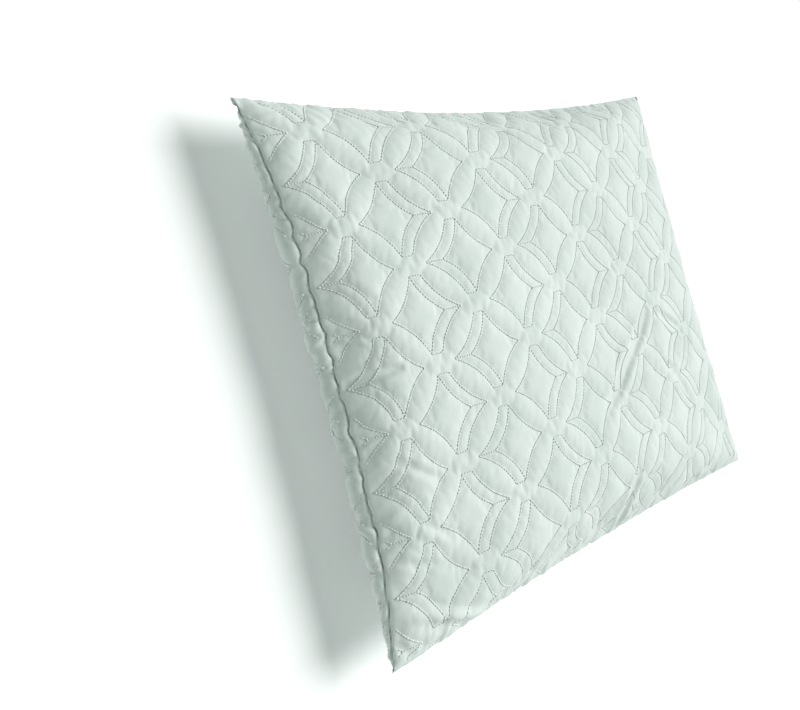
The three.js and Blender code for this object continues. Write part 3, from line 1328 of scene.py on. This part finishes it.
@dataclass
class Seam:
    """The seam round the pillow: the machine-sewn part, and the opening closed by hand after filling."""

    surface: PanelSurface
    closing_length: float = 220 * MM
    stitch_pitch: float = 3 * MM
    thread_radius: float = 0.3 * MM
    machine_inset: float = 2.6 * MM
    machine_wave: float = 0.25 * MM
    hand_inset: float = 1.3 * MM
    hand_wave: float = 0.8 * MM
    end_gap: float = 1.5 * MM

    def rim_places(self) -> np.ndarray:
        """Points round the seam line, anticlockwise from the middle of the short +X side.

        Returns:
            The points, with the first one again at the end.
        """
        shape = self.surface.shape_at(self.surface.cloth.rows, self.surface.cloth.columns)
        right, far = shape[:, -1], shape[-1, ::-1]
        left, near = shape[::-1, 0], shape[0]
        middle = len(right) // 2
        return np.concatenate((right[middle:-1], far[:-1], left[:-1], near[:-1], right[:middle + 1]))

    def path(self, start: float, end: float, inset: float, wave: float) -> np.ndarray:
        """A waved path along the seam.

        Args:
            start: Where it starts, in metres round the seam from the middle of the +X side.
            end: Where it ends.
            inset: How far inside the seam line it runs.
            wave: How far it passes up and down through the seam.

        Returns:
            The points.
        """
        rim = self.rim_places()
        travel = np.concatenate(([0], np.cumsum(np.linalg.norm(np.diff(rim, axis=0), axis=-1))))
        count = 2 * round((end - start) / self.stitch_pitch)
        steps = np.linspace(start, end, count + 1) % travel[-1]
        places = np.stack([np.interp(steps, travel, rim[:, axis]) for axis in range(3)], axis=-1)
        places[:, :2] *= 1 - inset / (self.surface.cut.breadth / 2)
        places[:, 2] = self.surface.cut.seam_level + wave * (1 - 2 * (np.arange(len(places)) % 2))
        return places

    def build(self, material: bpy.types.Material) -> list[bpy.types.Object]:
        """Builds both threads.

        Args:
            material: The sewing thread.

        Returns:
            The two pieces.
        """
        rim = self.rim_places()
        around = np.linalg.norm(np.diff(rim, axis=0), axis=-1).sum()
        half = self.closing_length / 2
        machine = self.path(half + self.end_gap, around - half - self.end_gap, self.machine_inset,
                            self.machine_wave)
        sewn = thread_piece("perimeter_lockstitch", machine, self.thread_radius, material)
        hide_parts("perimeter_seam_thread")
        hand = self.path(around - half, around + half, self.hand_inset, self.hand_wave)
        closed = thread_piece("closing_ladder_stitch", hand, self.thread_radius, material)
        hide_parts("closing_seam_thread")
        return [sewn, closed]


@dataclass
class CareLabel:
    """A blank satin care label, caught in the seam of a short side and hanging from it."""

    surface: PanelSurface
    width: float = 38 * MM
    drop: float = 34 * MM
    along_side: float = -120 * MM
    thickness: float = 0.3 * MM
    caught: float = 3 * MM
    belly: float = 3.5 * MM
    curl: float = 1.5 * MM
    turn_reach: float = 2 * MM
    turn_share: float = 0.2
    turn_drop: float = 0.12
    cells: tuple[int, int] = (12, 20)

    def hung_line(self, down: np.ndarray) -> tuple[np.ndarray, np.ndarray]:
        """The label's section, from inside the seam, over the rolled edge and down.

        Args:
            down: Share of the way along it, from 0 in the seam to 1 at the free end.

        Returns:
            How far out from the seam line and how far below it each share lies.
        """
        turn = np.clip(down / self.turn_share, 0, 1)
        hang = (down - self.turn_share) / (1 - self.turn_share)
        out = -self.caught + (self.caught + self.turn_reach) * np.sin(turn * math.pi / 2)
        out = out - self.belly * np.sin(np.clip(hang, 0, 1) * math.pi) * (1 - 0.4 * down)
        turning = self.turn_drop * (1 - np.cos(turn * math.pi / 2))
        hanging = self.turn_drop + (1 - self.turn_drop) * hang
        return out, self.drop * np.where(down < self.turn_share, turning, hanging)

    def build(self, material: bpy.types.Material) -> bpy.types.Object:
        """Builds the label.

        Args:
            material: The satin tape.

        Returns:
            The piece.
        """
        side = self.surface.shape_at(self.surface.cloth.rows, self.surface.cloth.columns)[:, -1]
        bm = bmesh.new()
        bmesh.ops.create_grid(bm, x_segments=self.cells[0], y_segments=self.cells[1], size=0.5)
        for vert in bm.verts:
            across, down = vert.co.x, vert.co.y + 0.5
            y = self.along_side + across * self.width
            out, below = self.hung_line(np.array(down))
            curl = self.curl * down * down * (2 * across) ** 2
            x = np.interp(y, side[:, 1], side[:, 0]) + float(out) + curl
            vert.co = (x, y, self.surface.cut.seam_level - float(below))
        bmesh.ops.solidify(bm, geom=bm.faces[:], thickness=self.thickness)
        bmesh.ops.recalc_face_normals(bm, faces=bm.faces[:])
        out, below = self.hung_line(np.linspace(0, 1, self.cells[1] + 1))
        piece = finished_piece("blank_care_label", bm, material)
        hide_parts("care_label")
        return piece


# ---------------------------------------------------------------------------------------------------
# Studio


@dataclass
class Studio:
    """A plain white floor, soft light from above and the right, and the camera."""

    seam_level: float
    lens: float = 40.8
    sensor_width: float = 36
    camera_place: tuple[float, float, float] = (-0.796, 0.005, 0.613)
    key_place: tuple[float, float, float] = (2.45, -0.1, 3.05)
    key_spread: float = 38
    key_strength: float = 2.95
    fill_place: tuple[float, float, float] = (-0.6, -0.5, 2.0)
    fill_size: float = 2.4
    fill_power: float = 3
    glow_strength: float = 0.26
    floor_glow: float = 0.14
    floor_half: float = 12

    def build(self) -> None:
        """Sets up the floor, the lights, the world and the camera."""
        self.floor()
        self.key_light()
        self.fill_light()
        world = bpy.data.worlds.new("studio")
        world.use_nodes = True
        tree = world.node_tree
        glow = tree.nodes["Background"]
        glow.inputs["Color"].default_value = linear("#def5e9")
        glow.inputs["Strength"].default_value = self.glow_strength
        backdrop = add_node(tree, "Background", {"Color": linear("#fbfdfc"), "Strength": 1.0})
        seen = add_node(tree, "LightPath").outputs["Is Camera Ray"]
        mixed = add_node(tree, "MixShader", links={0: seen, 1: glow.outputs[0], 2: backdrop.outputs[0]})
        tree.links.new(mixed.outputs[0], tree.nodes["World Output"].inputs["Surface"])
        scene = bpy.context.scene
        scene.world = world
        scene.view_settings.view_transform = "Standard"
        self.camera()

    def floor(self) -> None:
        """A wide matt white floor."""
        bm = bmesh.new()
        bmesh.ops.create_grid(bm, x_segments=1, y_segments=1, size=self.floor_half)
        mesh = bpy.data.meshes.new("floor")
        bm.to_mesh(mesh)
        bm.free()
        floor = bpy.data.objects.new("floor", mesh)
        material, tree = new_material("floor_paper")
        shader = add_node(tree, "BsdfPrincipled", {"Base Color": linear("#fcfdfd"), "Roughness": 0.9,
                                                   "Emission Color": linear("#ffffff"),
                                                   "Emission Strength": self.floor_glow})
        add_node(tree, "OutputMaterial", links={"Surface": shader.outputs["BSDF"]})
        mesh.materials.append(material)
        bpy.context.scene.collection.objects.link(floor)

    def key_light(self) -> None:
        """Adds the main light, which is even over the whole floor and soft at the shadows' edges."""
        data = bpy.data.lights.new("key", "SUN")
        data.angle = math.radians(self.key_spread)
        data.energy = self.key_strength
        self.aim("key", data, self.key_place)

    def fill_light(self) -> None:
        """Adds a weak square light that lifts the shadows."""
        data = bpy.data.lights.new("fill", "AREA")
        data.shape = "SQUARE"
        data.size = self.fill_size
        data.energy = self.fill_power
        self.aim("fill", data, self.fill_place)

    def aim(self, name: str, data: bpy.types.Light, place: Sequence[float]) -> None:
        """Stands a light at a place and points it at the pillow.

        Args:
            name: The light's name.
            data: The light.
            place: Where it stands.
        """
        lamp = bpy.data.objects.new(name, data)
        lamp.location = place
        towards = Vector((0, 0, self.seam_level)) - Vector(place)
        lamp.rotation_euler = towards.to_track_quat("-Z", "Y").to_euler()
        bpy.context.scene.collection.objects.link(lamp)

    def camera(self) -> None:
        """Places the camera, turned so that the pillow stands on one long side and leans back."""
        data = bpy.data.cameras.new("camera")
        data.lens = self.lens
        data.sensor_width = self.sensor_width
        data.clip_start = 0.01
        camera = bpy.data.objects.new("camera", data)
        right = Vector((0.701, -0.270, 0.659)).normalized()
        back = Vector((-0.684, 0.0, 0.729))
        back = (back - right * back.dot(right)).normalized()
        up = back.cross(right)
        turn = Matrix((right, up, back)).transposed().to_4x4()
        place = Vector(self.camera_place) + Vector((0, 0, self.seam_level))
        camera.matrix_world = Matrix.Translation(place) @ turn
        bpy.context.scene.collection.objects.link(camera)
        bpy.context.scene.camera = camera


@dataclass
class Pillow:
    """The whole pillow, in the order in which it is made up."""

    cut: Cut
    pattern: QuiltPattern = field(default_factory=QuiltPattern)

    def front_creases(self) -> list[Crease]:
        """The folds in the front: long ones on the right, short ones by the left seam and near corner."""
        return [
            Crease((0.128, -0.018), (0.078, -0.060), (-0.008, -0.112), depth=7 * MM, width=9 * MM),
            Crease((0.028, -0.176), (0.006, -0.205), (0.016, -0.250), depth=6 * MM, width=8 * MM),
            Crease((0.134, -0.022), (0.166, -0.040), (0.204, -0.060), depth=5 * MM, width=7 * MM),
            Crease((0.128, -0.080), (0.160, -0.100), (0.184, -0.146), depth=2.5 * MM, width=8 * MM),
            Crease((-0.326, -0.010), (-0.298, -0.004), (-0.262, -0.006), depth=6 * MM, width=6 * MM),
            Crease((-0.300, -0.082), (-0.274, -0.094), (-0.246, -0.112), depth=2 * MM, width=6 * MM),
            Crease((-0.282, -0.140), (-0.264, -0.150), (-0.248, -0.162), depth=2 * MM, width=6 * MM),
            Crease((-0.318, -0.166), (-0.288, -0.174), (-0.258, -0.184), depth=2 * MM, width=6 * MM),
            Crease((-0.310, -0.212), (-0.262, -0.224), (-0.206, -0.250), depth=-3.5 * MM, width=7 * MM),
            Crease((-0.326, -0.226), (-0.318, -0.238), (-0.304, -0.250), depth=2 * MM, width=5 * MM),
        ]

    def surfaces(self) -> list[PanelSurface]:
        """The outer faces of both panels.

        Returns:
            The front's and then the back's.
        """
        cloth = QuiltedCloth(self.cut, self.pattern)
        shapes = FilledShape(self.cut).panels()
        creases = {Side.FRONT: self.front_creases(), Side.BACK: []}
        return [PanelSurface(self.cut, side, shapes[side], cloth, creases[side]) for side in Side]

    def build(self) -> list[bpy.types.Object]:
        """Builds and dresses every piece.

        Returns:
            The pieces.
        """
        cover_cloth = BrushedMicrofibre().material()
        thread = SpunThread().material()
        wadding = FibreStock("bonded_wadding", "#f4f4f0", "#e2e2dc", 9 * MM, 1.2 * MM).material()
        scrim = FibreStock("spunbonded_scrim", "#e9e9e6", "#d6d6d2", 2.5 * MM, 0.15 * MM).material()
        fibre = FibreStock("loose_fibre", "#f7f7f4", "#e6e6e1", 18 * MM, 3 * MM).material()
        surfaces = self.surfaces()
        pieces = []
        layers = [PanelLayers(surface) for surface in surfaces]
        for surface, panel in zip(surfaces, layers):
            pieces.append(QuiltedCover(surface).build(cover_cloth))
            pieces.append(QuiltStitches(surface, self.pattern).build(thread))
            pieces += panel.build(wadding, scrim)
        pieces.append(build_filling(layers, fibre))
        pieces += Seam(surfaces[0]).build(thread)
        pieces.append(CareLabel(surfaces[0]).build(SatinTape().material()))
        return pieces


def main() -> None:
    """Builds the pillow and the studio."""
    logging.basicConfig(level=logging.INFO, format="%(name)s: %(message)s")
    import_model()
    cut = Cut.from_frame()
    Studio(cut.seam_level).build()
    for piece in Pillow(cut).build():
        LOG.info("%s: %d faces", piece.name, len(piece.data.polygons))


if __name__ == "__main__":
    main()
